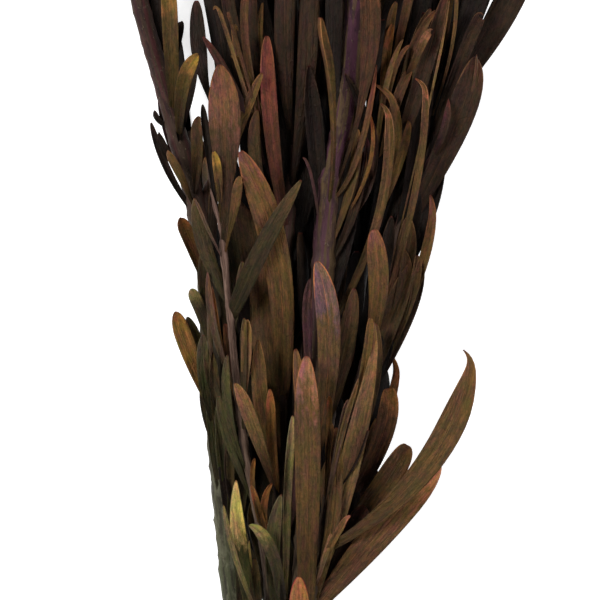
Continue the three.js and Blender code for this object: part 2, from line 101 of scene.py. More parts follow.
class Finish:
    """A material with one surface shader, built node by node."""

    def __init__(self, name):
        self.material = bpy.data.materials.new(name)
        self.material.use_nodes = True
        self.nodes = self.material.node_tree.nodes
        self.links = self.material.node_tree.links
        self.surface = self.nodes["Principled BSDF"]

    def put(self, socket, value):
        if isinstance(value, Number):
            self.links.new(value.socket, socket)
        elif value is not None:
            socket.default_value = value

    def node(self, kind, settings, *values, out=0, **named):
        """Any node: its type, its settings, and values or links for its sockets, in order or by name."""
        node = self.nodes.new(kind)
        for key, value in settings.items():
            setattr(node, key, value)
        for socket, value in zip(node.inputs, values):
            self.put(socket, value)
        for key, value in named.items():
            self.put(node.inputs[key.replace("_", " ")], value)
        return Number(self, node.outputs[out])

    def mark(self, name, part=None):
        """A value that the mesh carries: the whole vector or colour, or one part of it."""
        vector = self.node("ShaderNodeAttribute", {"attribute_name": name}, out=1)
        if part is None:
            return vector
        return self.node("ShaderNodeSeparateXYZ", {}, vector, out=part)

    def scaled(self, vector, factors):
        return self.node("ShaderNodeVectorMath", {"operation": "MULTIPLY"}, vector, factors)

    def speckle(self, vector, factors, detail=2, roughness=0.5):
        """Noise over a vector that is first stretched by three factors."""
        place = self.scaled(vector, factors)
        return self.node("ShaderNodeTexNoise", {}, Vector=place, Scale=1, Detail=detail, Roughness=roughness)

    def blend(self, amount, one, two, way="MIX"):
        """Two colours mixed. The node's colours come after its factor and five unused inputs."""
        settings = {"data_type": "RGBA", "blend_type": way}
        return self.node("ShaderNodeMix", settings, amount, *[None] * 5, one, two, out=2)

    def shade(self, colour, light):
        """A colour made darker or lighter by a number that changes over the surface."""
        grey = self.node("ShaderNodeCombineXYZ", {}, light, light, light)
        return self.blend(1, colour, grey, "MULTIPLY")

    def bump(self, height, strength, distance):
        return self.node("ShaderNodeBump", {}, Height=height, Strength=strength, Distance=distance)

    def set(self, **sockets):
        for key, value in sockets.items():
            self.put(self.surface.inputs[key.replace("_", " ")], value)
        return self.material


def new_object(name, points, faces):
    mesh = bpy.data.meshes.new(name)
    mesh.from_pydata(points, [], faces)
    made = bpy.data.objects.new(name, mesh)
    bpy.context.scene.collection.objects.link(made)
    return made


FLOOR_HALF = 2
FLOOR_DROP = 0.0006
FLOOR_GLOW = 0.62
quarters = [(-1, -1), (1, -1), (1, 1), (-1, 1)]
floor_corners = [(x * FLOOR_HALF, y * FLOOR_HALF, -FLOOR_DROP) for x, y in quarters]
floor = new_object("floor", floor_corners, [(0, 1, 2, 3)])
sheet = Finish("white_sheet")
floor.data.materials.append(sheet.set(
    Base_Color=(0.9, 0.9, 0.9, 1),
    Roughness=0.9,
    Emission_Color=(1, 1, 1, 1),
    Emission_Strength=FLOOR_GLOW,
))


def soft_light(name, place, side, power):
    lamp = bpy.data.lights.new(name, "AREA")
    lamp.size = side
    lamp.energy = power
    holder = bpy.data.objects.new(name, lamp)
    holder.location = place
    holder.rotation_euler = (-Vector(place)).to_track_quat("-Z", "Y").to_euler()
    bpy.context.scene.collection.objects.link(holder)


soft_light("key_light", place=(-0.95, 0.55, 1.2), side=0.7, power=26)
soft_light("fill_light", place=(1.05, 0.1, 1.2), side=0.8, power=15)
SURROUND_LIGHT = 0.1
surround = bpy.data.worlds.new("surround")
surround.use_nodes = True
surround_sockets = surround.node_tree.nodes["Background"].inputs
surround_sockets["Color"].default_value = (1, 1, 1, 1)
surround_sockets["Strength"].default_value = SURROUND_LIGHT
bpy.context.scene.world = surround


# The left branch has the thickest stem: rough grey-green bark below, smooth and purplish red above. The
# leaves of the bunch are leathery straps, softened for keeping: dark olive brown and finely streaked, with a
# paler rim and a blunt tip with a hard point. They grow out of the stem, so stem and leaves are one piece.
STUDIO_GAIN = 1.4


def paint(red, green, blue):
    """A surface colour that looks like these sRGB screen values of 0 to 255 in the light of this studio."""
    linear = [((v / 255 + 0.055) / 1.055) ** 2.4 if v > 10 else v / 255 / 12.92 for v in (red, green, blue)]
    return (*[v / STUDIO_GAIN for v in linear], 1)


# Each kind of leaf: colour of blade, of rim and of tip, and how far down the tip's colour reaches
KINDS = {
    "olive": ((92, 73, 45), (146, 100, 56), (108, 82, 54), 0.22),
    "khaki": ((68, 54, 35), (116, 83, 50), (86, 63, 44), 0.25),
    "brown": ((84, 61, 42), (138, 90, 54), (106, 68, 50), 0.25),
    "umber": ((51, 37, 26), (104, 70, 44), (76, 48, 37), 0.22),
    # The dark kind is partly the leaves' own dark brown and partly painted shade for leaves deep in the
    # bunch; the near-black kind after it is painted shade, for leaves that fill the gaps.
    "dark": ((33, 24, 18), (68, 47, 32), (47, 32, 24), 0.2),
    "black": ((20, 14, 13), (34, 24, 20), (26, 18, 16), 0.2),
    "plum": ((56, 39, 36), (84, 54, 46), (88, 46, 44), 0.25),
    "russet": ((101, 79, 50), (152, 92, 56), (124, 84, 72), 0.2),
    "blush": ((99, 78, 50), (176, 112, 72), (160, 118, 100), 0.26),
    "ruddy": ((106, 80, 54), (192, 128, 92), (172, 120, 94), 0.34),
    "bud": ((160, 116, 78), (138, 50, 44), (172, 118, 82), 0.2),
    "mauve": ((78, 59, 40), (146, 92, 56), (126, 93, 70), 0.46),
    "dusk": ((94, 74, 52), (192, 116, 70), (112, 92, 92), 0.42),
    "violet": ((78, 54, 58), (112, 76, 66), (82, 56, 60), 0.3),
    "rose": ((90, 56, 45), (150, 88, 58), (116, 68, 58), 0.5),
    "hooked": ((88, 68, 44), (166, 116, 80), (206, 130, 98), 0.12),
    "tan": ((112, 90, 62), (160, 120, 78), (130, 98, 68), 0.3),
    "straw": ((120, 113, 78), (142, 132, 96), (130, 120, 82), 0.3),
    "taupe": ((88, 74, 60), (128, 88, 60), (100, 78, 64), 0.3),
    "sage": ((73, 73, 46), (110, 100, 70), (84, 78, 54), 0.3),
    "green": ((64, 57, 36), (100, 84, 54), (88, 74, 46), 0.3),
    "lime": ((66, 68, 41), (134, 126, 78), (230, 218, 134), 0.4),
    "moss": ((76, 69, 49), (112, 102, 68), (134, 130, 80), 0.4),
    "amber": ((148, 119, 62), (142, 86, 50), (154, 108, 64), 0.3),
    "orange": ((98, 72, 40), (156, 98, 54), (132, 84, 48), 0.3),
    "gold": ((88, 72, 43), (136, 106, 56), (156, 126, 64), 0.4),
    "bronze": ((72, 50, 35), (152, 98, 56), (124, 90, 52), 0.3),
}

# Each kind of bark: its ground colour, the stripes along it and the patches on it
BARKS = {
    "grey": ((87, 92, 65), (64, 62, 49), (116, 115, 91)),
    "woody": ((76, 62, 46), (56, 42, 34), (92, 78, 58)),
    "purple": ((84, 46, 62), (98, 78, 48), (48, 23, 34)),
    "wine": ((79, 43, 42), (71, 54, 41), (46, 28, 28)),
    "pink": ((142, 108, 96), (98, 72, 60), (162, 130, 116)),
}


def drawer(seed):
    """A repeatable run of draws between 0 and 1."""
    state = seed
    while True:
        state = state * 16807 % 2147483647
        yield state / 2147483647


def between(draw, low, high):
    return low + (high - low) * next(draw)


def portion(value, low, high):
    """How far a value has come from low to high, from 0 to 1."""
    return max(0, min(1, (value - low) / (high - low)))


def stem_point(route, y):
    """Point of a stem's smooth route at one distance along the bunch, in mm."""
    i = 0
    while i < len(route) - 2 and y > route[i + 1][0]:
        i += 1
    start, end = route[i], route[i + 1]
    before, after = route[max(i - 1, 0)], route[min(i + 2, len(route) - 1)]
    span = end[0] - start[0]
    t = (y - start[0]) / span

    def smooth(k):
        slope_start = (end[k] - before[k]) / (end[0] - before[0]) * span
        slope_end = (after[k] - start[k]) / (after[0] - start[0]) * span
        bend = slope_start * (t**3 - 2 * t**2 + t) + slope_end * (t**3 - t**2)
        return start[k] + (end[k] - start[k]) * (3 * t**2 - 2 * t**3) + bend

    return Vector((smooth(1), y, smooth(2)))


# Places along a leaf run from 0 at its root to 1 at its tip.
TIP_START = 0.86
WIDEST_AT = 0.68
ROOT_WIDTH = 0.34
POINT_WIDTH = 0.06
TIP_ROUNDNESS = 2.1


def leaf_point(leaf, t, lift):
    """A leaf's middle line is a parabola through its root, middle and tip. A lift raises its outer part."""
    control = leaf["mid"] * 2 - (leaf["root"] + leaf["tip"]) / 2
    point = leaf["root"] * (1 - t) ** 2 + control * 2 * t * (1 - t) + leaf["tip"] * t**2
    point.z += lift * t * (2 - t)
    point.x += leaf.get("hook", 0) * portion(t, TIP_START, 1) ** leaf.get("crook", 2)
    return point


def leaf_length(leaf):
    return (leaf["mid"] - leaf["root"]).length + (leaf["tip"] - leaf["mid"]).length


def leaf_width(t, bluntness, slim, widest):
    """Share of the full width: a stalk-like root, longer in a slim leaf, and a blunt or pointed tip."""
    if t < widest:
        stalk = ROOT_WIDTH / math.sqrt(slim)
        return stalk + (1 - stalk) * math.sin(t / widest * math.pi / 2) ** slim
    past = (t - widest) / (1 - widest)
    return POINT_WIDTH + (1 - POINT_WIDTH) * (1 - past**TIP_ROUNDNESS) ** bluntness


def listed_leaf(route, row):
    """A leaf from its row: the root's place on the stem, the middle, the tip, the width, the kind, and
    what is special about its shape."""
    root_y, mid_x, mid_y, mid_z, tip_x, tip_y, tip_z, width, kind, *special = row
    special = special[0] if special else {}
    angle = math.radians(special.get("turn", 0))
    return {
        "root": stem_point(route, root_y),
        "mid": Vector((mid_x, mid_y, mid_z)),
        "tip": Vector((tip_x, tip_y, tip_z)),
        "face": Vector((math.sin(angle), 0, math.cos(angle))),
        "width": width,
        "kind": kind,
        **special,
    }


GOLDEN_TURN = 137.5
STEM_AHEAD = 4
LENGTH_TO_WIDTH = 6.5


def ruled_leaves(route, group, seed):
    """Leaves that grow by rule between two places: each a golden turn further round, leaning outwards."""
    start, end, count, group_length, facing, kinds = group
    draw = drawer(seed)
    leaves = []
    for i in range(count):
        share = (i + next(draw)) / count
        root = stem_point(route, start + (end - start) * share)
        ahead = (stem_point(route, root.y + STEM_AHEAD) - root).normalized()
        turn = (i * GOLDEN_TURN) % 360 / 360
        angle = math.radians(facing[0] + (facing[1] - facing[0]) * turn)
        out = Vector((math.cos(angle), 0, math.sin(angle)))
        length = group_length * between(draw, 0.75, 1.2)
        lean = math.radians(between(draw, 9, 21))
        reach = ahead * length * math.cos(lean)
        spread = length * math.sin(lean)
        leaves.append({
            "root": root,
            "mid": root + reach / 2 + out * spread * between(draw, 0.6, 0.8),
            "tip": root + reach + out * spread,
            "face": out,
            "width": group_length / LENGTH_TO_WIDTH * between(draw, 0.8, 1.2),
            "kind": kinds[i % len(kinds)],
        })
    return leaves


LIFTS = [0, 1, 2, 3, 4, 5, -1, -2, -3, -4, -5, 6.5, 8, -6.5, -8]
LONG_LEAF = 42
LONG_LEAF_CHECKS = [0.52, 0.7, 0.86, 0.97]
SHORT_LEAF_CHECKS = [0.4, 0.6, 0.82, 0.97]
BLADE_HALF = 0.4
MATCH = 0.3


def settled_lift(leaf, solid):
    """How far the frame's leaf is bent to lie clear of its neighbours, or 0 where the frame has none."""
    checks = LONG_LEAF_CHECKS if leaf_length(leaf) > LONG_LEAF else SHORT_LEAF_CHECKS
    best, best_miss = 0, MATCH
    for lift in LIFTS:
        misses = []
        for t in checks:
            point = leaf_point(leaf, t, lift)
            point.z = max(point.z, BLADE_HALF)
            away = solid.find_nearest((point - BUNCH_CENTRE) * MM)[3] / MM
            misses.append(away - BLADE_HALF)
        if max(misses) < best_miss:
            best, best_miss = lift, max(misses)
    return best


# Which of a branch's finishes a face has
BLADE, BARK, CUT = range(3)


class Growth:
    """Points and faces of one branch, with what its finishes need to know at each point."""

    def __init__(self):
        self.points = []
        self.faces = []
        self.slots = []
        self.marks = {"place": [], "grain": [], "blade": [], "rim": [], "tip": []}

    def ring(self, points, places, grains, colours):
        """Adds one ring of points and gives their numbers."""
        first = len(self.points)
        self.points += [tuple((p - BUNCH_CENTRE) * MM) for p in points]
        self.marks["place"] += places
        self.marks["grain"] += grains
        for key, colour in zip(("blade", "rim", "tip"), colours):
            self.marks[key] += [colour] * len(points)
        return range(first, first + len(points))

    def join(self, rings, slot):
        """Faces from each ring to the next."""
        for one, two in zip(rings, rings[1:]):
            for k in range(len(one)):
                following = (k + 1) % len(one)
                self.faces.append((one[k], one[following], two[following], two[k]))
                self.slots.append(slot)

    def close(self, ring, slot, backwards=False):
        """One face over the end of a tube."""
        self.faces.append(tuple(reversed(ring)) if backwards else tuple(ring))
        self.slots.append(slot)

    def build(self, name, materials):
        made = new_object(name, self.points, self.faces)
        for material in materials:
            made.data.materials.append(material)
        made.data.polygons.foreach_set("material_index", self.slots)
        made.data.polygons.foreach_set("use_smooth", [True] * len(self.faces))
        for key, values in self.marks.items():
            colour = len(values[0]) == 4
            kind, field = ("FLOAT_COLOR", "color") if colour else ("FLOAT_VECTOR", "vector")
            layer = made.data.attributes.new(key, kind, "POINT")
            layer.data.foreach_set(field, [v for value in values for v in value])
        made.data.update()
        return made


# Three leaves in four are cupped and the others slightly arched. The deepest in the bunch get the most
# painted shade.
CUPPED_SHARE = 0.75
ARCHED_FOLD = -0.5
DEEP, OPEN = 14, 40
DEEP_LIGHT, OPEN_LIGHT = 0.5, 1.1
BLADE_THICKNESS = 0.31
ROOT_THICKNESS = 0.186
NARROW_BLADE = 0.6
EDGE_ROUNDNESS = 0.6
GROOVE = 0.16
CUP_ROUNDNESS = 1.6
CUP_LEVEL = 0.4
FLAT_ROOT = 0.25
TWIST_CENTRE = 0.35
NOD_START = 0.7
RIPPLE_PITCH = 0.13
NEARBY = 0.02
LEAF_CLEARANCE = 0.05
BLADE_ROUND = 16
BLADE_STATIONS = [i / 17 * TIP_START for i in range(18)] + [0.89, 0.92, 0.945, 0.965, 0.98, 0.99, 0.997]


def grow_leaf(growth, leaf, lift, draw):
    """A fine blade: cupped or arched, a little twisted and waved, with round edges and a groove on top."""
    fold = (0.08 + 0.4 * next(draw) ** 2) * (1 if next(draw) < CUPPED_SHARE else ARCHED_FOLD)
    fold = leaf.get("fold", fold)
    slim = leaf.get("slim", between(draw, 0.9, 1.8))
    widest = leaf.get("widest", WIDEST_AT)
    twist = math.radians(between(draw, -22, 22))
    wave = between(draw, 0.25, 0.75)
    phase = between(draw, 0, 6)
    nod = between(draw, -1.92, 1.28)
    bow = between(draw, -0.7, 0.7)
    bluntness = leaf.get("blunt", between(draw, 0.48, 0.78))
    seed = between(draw, 0, 90)
    light = between(draw, 0.9, 1.14)
    # Painted shade: a leaf deep in the bunch has its colours darkened, on top of its random tone.
    light *= DEEP_LIGHT + (OPEN_LIGHT - DEEP_LIGHT) * portion(leaf["mid"].z, DEEP, OPEN)
    blade, rim, tip, reach = KINDS[leaf["kind"]]
    colours = [tuple(c * light for c in paint(*colour)[:3]) + (1,) for colour in (blade, rim, tip)]
    length = leaf_length(leaf)
    rings = []
    for t in BLADE_STATIONS:
        centre = leaf_point(leaf, t, lift)
        ahead = leaf_point(leaf, min(t + NEARBY, 1), lift) - leaf_point(leaf, max(t - NEARBY, 0), lift)
        ahead.normalize()
        up = (leaf["face"] - ahead * leaf["face"].dot(ahead)).normalized()
        up = Matrix.Rotation(twist * (t - TWIST_CENTRE), 3, ahead) @ up
        side = ahead.cross(up)
        centre += up * nod * portion(t, NOD_START, 1) ** 2
        centre += side * bow * math.sin(t * math.pi) ** 2
        half_width = leaf["width"] * leaf_width(t, bluntness, slim, widest) / 2
        thick = (BLADE_THICKNESS + ROOT_THICKNESS * (1 - t) ** 3) * min(1, half_width / NARROW_BLADE)
        points, places, grains = [], [], []
        for k in range(BLADE_ROUND):
            turn = 2 * math.pi * (k + 0.5) / BLADE_ROUND
            across = math.cos(turn)
            rise = math.copysign(abs(math.sin(turn)) ** EDGE_ROUNDNESS, math.sin(turn)) * thick
            groove = GROOVE * math.exp(-((across / GROOVE) ** 2)) * (1 - t)
            cup = abs(across) ** (CUP_ROUNDNESS - abs(fold)) - CUP_LEVEL
            curl = fold * 2 * half_width * cup * portion(t, 0, FLAT_ROOT)
            ripple = wave * across * abs(across) * math.sin(length * t * RIPPLE_PITCH + phase) * t
            point = centre + side * across * half_width + up * (rise - groove + curl + ripple)
            point.z = max(point.z, LEAF_CLEARANCE)
            points.append(point)
            places.append((across, t, reach))
            grains.append((across * half_width + seed, t * length, seed))
        rings.append(growth.ring(points, places, grains, colours))
    growth.join(rings, BLADE)
    growth.close(rings[0], BLADE, backwards=True)
    growth.close(rings[-1], BLADE)


# Old bark turns into young bark between two places along the bunch.
OLD_BARK, YOUNG_BARK = -10, 160
STEM_SIDES = 22
STEM_STEP = 1.5
ROUNDED_TOP = 3
TOP_POINT = 0.02
BEYOND_FORK = 0.45
COLLAR_HEIGHT = 0.24
COLLAR_LENGTH = 1.3
RIDGES_ACROSS, RIDGES_ALONG = 2.2, 0.09
WARTS_ACROSS, WARTS_ALONG = 0.5, 0.32
WART_START = 0.25
WART_HEIGHT = 2.2
BARK_RADIUS = 4
STEM_CLEARANCE = 0.02
CUT_RINGS = (1, 0.86, 0.45, 0.12)


def grow_stem(growth, route, radius, roots, bark, relief, fork, seed):
    """A tapering stem with a collar at each leaf, thinner beyond a fork, cut below and round on top."""
    start, end = route[0][0], route[-1][0]
    steps = round((end - start) / STEM_STEP)
    foot, top = [[paint(*colour) for colour in BARKS[kind]] for kind in bark]
    rings = []
    for i in range(steps + 1):
        share = i / steps
        y = start + (end - start) * share
        centre = stem_point(route, y)
        size = radius[0] + (radius[1] - radius[0]) * share
        size *= math.sqrt(max(TOP_POINT, portion(end - y, 0, ROUNDED_TOP)))
        if fork and y > fork:
            size *= BEYOND_FORK
        size += sum(COLLAR_HEIGHT * math.exp(-(((y - root) / COLLAR_LENGTH) ** 2)) for root in roots)
        mix = portion(y, OLD_BARK, YOUNG_BARK)
        colours = [tuple(a + (b - a) * mix for a, b in zip(old, young)) for old, young in zip(foot, top)]
        rough = relief[0] + (relief[1] - relief[0]) * mix
        points, places, grains = [], [], []
        for k in range(STEM_SIDES):
            turn = -2 * math.pi * k / STEM_SIDES
            way = Vector((math.cos(turn), 0, math.sin(turn)))
            ridges = noise.noise(Vector((turn * RIDGES_ACROSS, y * RIDGES_ALONG, seed)))
            spot = way * size * WARTS_ACROSS
            bumps = noise.noise(Vector((spot.x, y * WARTS_ALONG, spot.z + seed)))
            warts = max(0, bumps - WART_START) * WART_HEIGHT
            point = centre + way * (size + rough * (ridges + warts))
            point.z = max(point.z, STEM_CLEARANCE)
            points.append(point)
            places.append((1, share, 0))
            grains.append((way.x * BARK_RADIUS + seed, y, way.z * BARK_RADIUS))
        rings.append(growth.ring(points, places, grains, colours))
    growth.join(rings, BARK)
    growth.close(rings[-1], BARK)
    pith = stem_point(route, start)
    rind = [Vector(growth.points[j]) / MM + BUNCH_CENTRE for j in rings[0]]
    cut = []
    for inward in CUT_RINGS:
        points = [pith + (point - pith) * inward for point in rind]
        places = [(inward, 0, 0)] * STEM_SIDES
        grains = [(p.x, p.z, seed) for p in points]
        cut.append(growth.ring(points, places, grains, foot))
    growth.join(cut[::-1], CUT)
    growth.close(cut[-1], CUT, backwards=True)


def leaf_finish():
    """Leathery blade: clouds of mauve, ochre and green, fine streaks, a thin bright rim and a red point."""
    ochre, mauve = (1.12, 1.08, 0.78, 1), (0.96, 0.74, 0.98, 1)
    green, rosy = (0.74, 0.86, 0.7, 1), (1.34, 1.08, 1.02, 1)
    cool_side, warm_side = (1, 0.9, 1.12, 1), (1.1, 1.08, 0.84, 1)
    finish = Finish("leathery_leaf")
    across = finish.mark("place", 0).size()
    along = finish.mark("place", 1)
    reach = finish.mark("place", 2)
    grain = finish.mark("grain")
    fibres = finish.speckle(grain, (2.6, 0.12, 1), 3, 0.6)
    streaks = finish.speckle(grain, (1.1, 0.03, 1), 4, 0.65).rise(0.3, 0.7)
    clouds = finish.speckle(grain, (0.34, 0.12, 1), 5, 0.7)
    patches = finish.speckle(grain, (0.7, 0.26, 2.3), 5, 0.75)
    freckles = finish.speckle(grain, (2.2, 1.5, 1), 3, 0.75)
    cells = finish.node(
        "ShaderNodeTexVoronoi",
        {"feature": "DISTANCE_TO_EDGE"},
        Vector=finish.scaled(grain, (0.95, 0.27, 1)),
        Scale=1,
    )
    veins = 1 - cells.rise(0, 0.11)
    midrib = 1 - across.rise(0.02, 0.07)
    near_tip = (along - (1 - reach) + (clouds - 0.5) * 0.7).rise(0, 0.2)
    colour = finish.blend(near_tip * 0.85, finish.mark("blade"), finish.mark("tip"))
    colour = finish.blend(0.9, colour, finish.blend(clouds.rise(0.4, 0.62), ochre, mauve), "MULTIPLY")
    colour = finish.blend(0.9, colour, finish.blend(patches.rise(0.4, 0.62), green, rosy), "MULTIPLY")
    side = (finish.mark("place", 0) + clouds - 0.5).rise(-0.7, 0.7)
    tinted = finish.blend(1, colour, finish.blend(side, cool_side, warm_side), "MULTIPLY")
    colour = finish.blend(along.rise(0.5, 0.9), colour, tinted)
    rim_mask = (across + (patches - 0.5) * 0.2 + (along - 0.92)).rise(0.76, 0.9)
    colour = finish.blend(rim_mask * (0.6 + 0.4 * along), colour, finish.mark("rim"))
    colour = finish.blend(midrib * streaks * 0.4, colour, finish.mark("rim"))
    colour = finish.shade(colour, fibres * 0.9 + streaks * 0.5 + freckles - veins * 0.14 - 0.18)
    # Painted shade: each blade is darker towards its root, where it lies among the other leaves.
    colour = finish.shade(colour, 0.55 + 0.45 * along.rise(0.05, 0.6))
    colour = finish.blend(along.rise(0.98, 0.996) * 0.7, colour, paint(98, 38, 30))
    height = fibres * 0.5 + streaks * 0.7 + clouds * 0.5 + freckles * 0.4 - veins * 0.3 + midrib * 0.3
    return finish.set(
        Base_Color=colour,
        Roughness=0.5 + clouds * 0.2,
        Specular_IOR_Level=0.14,
        Normal=finish.bump(height, 0.8, 0.0005),
    )


def bark_finish():
    """Bark: stripes along the stem and patches in its own colours, fine cracks and pale warts."""
    finish = Finish("branch_bark")
    grain = finish.mark("grain")
    cracks = finish.speckle(grain, (1.4, 0.16, 1.4), 4, 0.7)
    stripes = finish.speckle(grain, (0.55, 0.03, 0.55), 3)
    patches = finish.speckle(grain, (0.3, 0.1, 0.3), 4, 0.7)
    warts = finish.speckle(grain, (0.9, 0.7, 0.9), 2)
    colour = finish.blend(stripes.rise(0.44, 0.56) * 0.9, finish.mark("blade"), finish.mark("rim"))
    colour = finish.blend(patches.rise(0.48, 0.6) * 0.8, colour, finish.mark("tip"))
    colour = finish.shade(colour, cracks * 1.5 + patches * 0.5)
    colour = finish.blend(warts.rise(0.62, 0.72) * 0.45, colour, paint(126, 110, 88))
    height = cracks * 0.7 + warts.rise(0.55, 0.75) * 0.5
    return finish.set(
        Base_Color=colour,
        Roughness=0.62,
        Specular_IOR_Level=0.15,
        Normal=finish.bump(height, 0.7, 0.0006),
    )


def cut_finish():
    """Cut wood: pale rings round a brown pith, with a dark rind."""
    finish = Finish("cut_wood")
    radial = finish.mark("place", 0)
    grain = finish.mark("grain")
    fibres = finish.speckle(grain, (1.5, 1.5, 1), 3)
    colour = finish.blend(radial.rise(0.1, 0.24), paint(104, 74, 48), paint(176, 148, 108))
    colour = finish.blend(radial.rise(0.84, 0.93), colour, paint(74, 58, 44))
    colour = finish.blend(fibres.rise(0.45, 0.7) * 0.4, colour, paint(136, 108, 74))
    return finish.set(Base_Color=colour, Roughness=0.8, Normal=finish.bump(fibres, 0.4, 0.0003))


def node_surface(name):
    """The surface of one of the frame's solids, to measure to."""
    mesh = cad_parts[name].data
    return BVHTree.FromPolygons([v.co for v in mesh.vertices], [p.vertices for p in mesh.polygons])


branch_finishes = [leaf_finish(), bark_finish(), cut_finish()]
UNDER_SEED = 11
CROWN_SEED = 31
BLADE_SEED = 101


def grow_branch(name, number, route, radius, bark, relief, leaves, under, crown=None, fork=None):
    """A stem with its listed leaves and the ones that grow by rule, in place of the frame's solid.
    A group under the others or at the crown has its start, end, count, length, facing and kinds."""
    solid = node_surface(name)
    all_leaves = [listed_leaf(route, row) for row in leaves]
    all_leaves += ruled_leaves(route, under, UNDER_SEED + number)
    if crown:
        all_leaves += ruled_leaves(route, crown, CROWN_SEED + number)
    growth = Growth()
    draw = drawer(BLADE_SEED + number)
    for leaf in all_leaves:
        grow_leaf(growth, leaf, settled_lift(leaf, solid), draw)
    roots = [leaf["root"].y for leaf in all_leaves]
    grow_stem(growth, route, radius, roots, bark, relief, fork, 7.3 * number + 1)
    made = growth.build(name + "_leafy", branch_finishes)
    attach(made, "root")
    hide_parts(name)


ROUND = (0, 360)
# Kinds for the leaves that grow by rule under the others and at the crown; the dark ones are partly painted
# shade.
SHADE = ("dark", "olive", "brown", "dark")

grow_branch(
    "branch_left", 0,
    route=[
        (-142, -12.1, 3.6), (-80, -12.5, 6.3), (0, -22.2, 17), (57, -27.7, 21), (90, -30, 23),
        (110, -31.2, 24), (133, -35.2, 25), (170, -45.2, 25), (200, -53.6, 25), (238, -60.6, 24),
    ],
    radius=(4.3, 2.9),
    bark=("grey", "wine"),
    relief=(0.42, 0.06),
    leaves=[
        (62, -36.8, 82, 27, -41.3, 96, 26, 6, "amber", dict(slim=0.7, blunt=0.6, fold=0.12, turn=10)),
        (66, -34, 82.7, 23, -37.7, 94.3, 22, 4.6, "sage", dict(slim=1)),
        (82, -33.5, 96, 31, -36.8, 104.3, 32, 4.3, "moss", dict(blunt=0.9)),
        (104, -37, 119, 31, -39.5, 127, 32, 4.8, "orange"),
        (156, -46.6, 160, 26, -48.7, 163.5, 26, 2, "dark", dict(slim=1, blunt=0.9)),
        (126, -43.4, 143, 28, -49.9, 159, 27, 2.6, "dark", dict(slim=1, fold=0.3)),
        (138, -44, 149, 30, -47, 155.3, 30, 2.8, "dark", dict(slim=1, blunt=0.9)),
        (128, -39.7, 140.7, 34, -44.3, 149.7, 33, 3, "olive"),
        (152, -38.7, 170.7, 45, -33.7, 181, 47, 5, "gold", dict(slim=1, fold=0.3)),
        (148, -39.8, 160.5, 31, -36.4, 168, 31, 2.6, "dark"),
        (158, -43, 187, 35, -44.3, 210, 36, 5.6, "gold", dict(slim=0.8, fold=0.25)),
        (168, -41, 184, 31, -39.7, 193.3, 31, 3, "dark"),
        (150, -46, 186, 23, -47, 222, 22, 6, "dark"),
        (182, -51.8, 205, 20, -50, 226, 20, 5, "dark"),
        (20, -28.4, 50, 25, -30.5, 77, 26, 3, "sage"),
        (34, -26.5, 52, 30, -27, 72, 32, 3.2, "sage", dict(turn=10)),
        (-12, -19, 16, 15, -18.5, 44, 17, 7, "sage"),
        (118, -38.5, 150, 0.4, -42.5, 182, 0.4, 6.5, "umber"),
        (44, -26.5, 76, 18, -27.5, 104, 19, 5, "green"),
        (133, -34.7, 147.3, 37, -34.3, 161.3, 38, 4.2, "khaki", dict(slim=1.3, hook=1)),
        (186, -52.3, 195.3, 29, -56.3, 212, 30, 3.6, "rose", dict(slim=0.6, fold=0.5)),
        (58, -30.3, 83.3, 33, -29.7, 103.3, 35, 1.8, "taupe"),
        (52, -31.3, 71.7, 31, -32.3, 88.3, 31, 4.4, "sage"),
        (40, -28, 63.3, 32, -29, 82.7, 34, 3.4, "green", dict(fold=0.4)),
        (24, -26, 50, 30, -28.7, 67.3, 30, 3.2, "sage", dict(fold=0.4)),
        (14, -23, 43.3, 31, -24.7, 61.7, 33, 3, "green", dict(fold=0.4)),
        (26, -20.7, 53.3, 32, -22.7, 72, 34, 4.4, "sage"),
        (96, -32, 105, 31, -31.3, 118, 32, 4.6, "green"),
        (98, -30, 124, 31, -30.7, 140.7, 31, 6.4, "umber"),
        (-4, -25, 40, 24, -25, 54.7, 24, 5.4, "sage"),
        (10, -24.5, 34, 26, -26, 54, 26, 5, "dark"),
        (128, -43.5, 154, 27, -46.6, 171, 27, 3.2, "plum", dict(slim=1, fold=0.2)),
        (152, -37.6, 167, 34, -34.4, 180, 34, 3.6, "dark", dict(slim=1.5)),
        (10, -19.5, 34, 24, -19.5, 54, 25, 5, "green"),
        (-30, -18.5, -2, 24, -19, 24, 26, 5, "green"),
        (44, -30.4, 60, 26, -33, 72, 26, 3, "green"),
        (112, -28.8, 142, 22, -28.4, 167, 22, 4.4, "black"),
    ],
    under=(8, 180, 9, 40, (266, 352), SHADE),
    crown=(196, 236, 8, 42, ROUND, SHADE),
)

